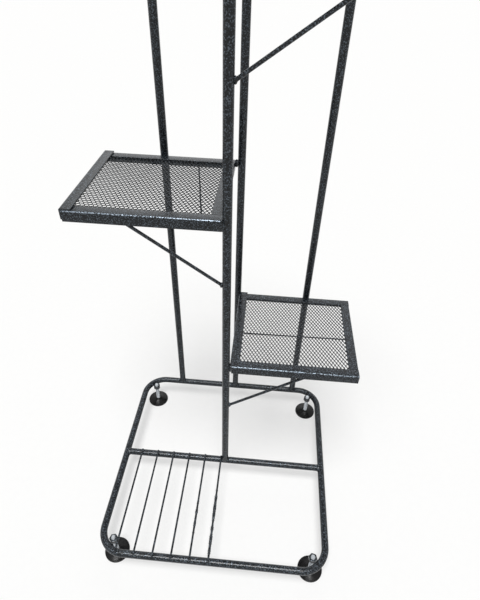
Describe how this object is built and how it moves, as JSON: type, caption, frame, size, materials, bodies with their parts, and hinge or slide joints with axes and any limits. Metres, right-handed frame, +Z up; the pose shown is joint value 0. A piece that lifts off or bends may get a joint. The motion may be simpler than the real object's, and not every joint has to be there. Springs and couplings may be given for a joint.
{
  "type": "tiered plant stand",
  "caption": "Welded steel plant stand: mesh shelves alternate left and right up a front post and rear posts, on a bent tube base with a wire rack and screw feet.",
  "frame": {"origin": "on the floor, under the middle of the front post and of the base from front to back", "axes": "+Z up, +X to the right seen from the front, +Y to the back"},
  "size_m": [0.5506, 0.511, 1.453],
  "materials": {
    "frame_coat": "black powder coat with a silver vein, half gloss",
    "shelf_coat": "black powder coat with a silver vein, brighter on the level faces and rims",
    "mesh_coat": "black powder coat over raised expanded metal",
    "stud_zinc": "bright zinc plate on a rolled thread",
    "black_plastic": "moulded black plastic, fine grain"
  },
  "bodies": {
    "frame": {"base_ring": "frame_coat", "base_cross_tube": "frame_coat", "rack_wire_1": "frame_coat", "rack_wire_2": "frame_coat", "rack_wire_3": "frame_coat", "rack_wire_4": "frame_coat", "rack_wire_5": "frame_coat", "rack_wire_6": "frame_coat", "front_post": "frame_coat", "rear_post_left": "frame_coat", "rear_post_centre": "frame_coat", "rear_post_right": "frame_coat", "post_plugs": "black_plastic", "shelf_1_front_bar": "shelf_coat", "shelf_1_back_bar": "shelf_coat", "shelf_1_left_bar": "shelf_coat", "shelf_1_right_bar": "shelf_coat", "shelf_1_mesh": "mesh_coat", "shelf_1_mesh_rod": "frame_coat", "shelf_1_brace": "frame_coat", "shelf_2_front_bar": "shelf_coat", "shelf_2_back_bar": "shelf_coat", "shelf_2_left_bar": "shelf_coat", "shelf_2_right_bar": "shelf_coat", "shelf_2_mesh": "mesh_coat", "shelf_2_mesh_rod": "frame_coat", "shelf_2_brace": "frame_coat", "shelf_3_front_bar": "shelf_coat", "shelf_3_back_bar": "shelf_coat", "shelf_3_left_bar": "shelf_coat", "shelf_3_right_bar": "shelf_coat", "shelf_3_mesh": "mesh_coat", "shelf_3_mesh_rod": "frame_coat", "shelf_3_brace": "frame_coat", "shelf_4_front_bar": "shelf_coat", "shelf_4_back_bar": "shelf_coat", "shelf_4_left_bar": "shelf_coat", "shelf_4_right_bar": "shelf_coat", "shelf_4_mesh": "mesh_coat", "shelf_4_mesh_rod": "frame_coat", "shelf_4_brace": "frame_coat", "foot_nuts": "frame_coat"},
    "foot_pad_front_left": {"foot_pad_front_left": "black_plastic"},
    "foot_stud_front_left": {"foot_stud_front_left": "stud_zinc"},
    "foot_pad_front_right": {"foot_pad_front_right": "black_plastic"},
    "foot_stud_front_right": {"foot_stud_front_right": "stud_zinc"},
    "foot_pad_back_left": {"foot_pad_back_left": "black_plastic"},
    "foot_stud_back_left": {"foot_stud_back_left": "stud_zinc"},
    "foot_pad_back_right": {"foot_pad_back_right": "black_plastic"},
    "foot_stud_back_right": {"foot_stud_back_right": "stud_zinc"}
  },
  "joints": [
    {"name": "foot_height_front_left", "type": "slide", "parent": "frame", "child": "foot_pad_front_left", "axis": [0, 0, 1], "range_m": [-0.005, 0.042]},
    {"name": "foot_screw_front_left", "type": "hinge", "parent": "foot_pad_front_left", "child": "foot_stud_front_left", "pos_m": [-0.22754, -0.21904, 0.03], "axis": [0, 0, 1], "range_deg": [-1200, 10080]},
    {"name": "foot_height_front_right", "type": "slide", "parent": "frame", "child": "foot_pad_front_right", "axis": [0, 0, 1], "range_m": [-0.005, 0.042]},
    {"name": "foot_screw_front_right", "type": "hinge", "parent": "foot_pad_front_right", "child": "foot_stud_front_right", "pos_m": [0.21754, -0.21904, 0.03], "axis": [0, 0, 1], "range_deg": [-1200, 10080]},
    {"name": "foot_height_back_left", "type": "slide", "parent": "frame", "child": "foot_pad_back_left", "axis": [0, 0, 1], "range_m": [-0.005, 0.042]},
    {"name": "foot_screw_back_left", "type": "hinge", "parent": "foot_pad_back_left", "child": "foot_stud_back_left", "pos_m": [-0.22754, 0.21904, 0.03], "axis": [0, 0, 1], "range_deg": [-1200, 10080]},
    {"name": "foot_height_back_right", "type": "slide", "parent": "frame", "child": "foot_pad_back_right", "axis": [0, 0, 1], "range_m": [-0.005, 0.042]},
    {"name": "foot_screw_back_right", "type": "hinge", "parent": "foot_pad_back_right", "child": "foot_stud_back_right", "pos_m": [0.21754, 0.21904, 0.03], "axis": [0, 0, 1], "range_deg": [-1200, 10080]}
  ],
  "couplings": [
    {"joint": "foot_screw_front_left", "follows": "foot_height_front_left", "rad_per_m": 4188.8},
    {"joint": "foot_screw_front_right", "follows": "foot_height_front_right", "rad_per_m": 4188.8},
    {"joint": "foot_screw_back_left", "follows": "foot_height_back_left", "rad_per_m": 4188.8},
    {"joint": "foot_screw_back_right", "follows": "foot_height_back_right", "rad_per_m": 4188.8}
  ]
}
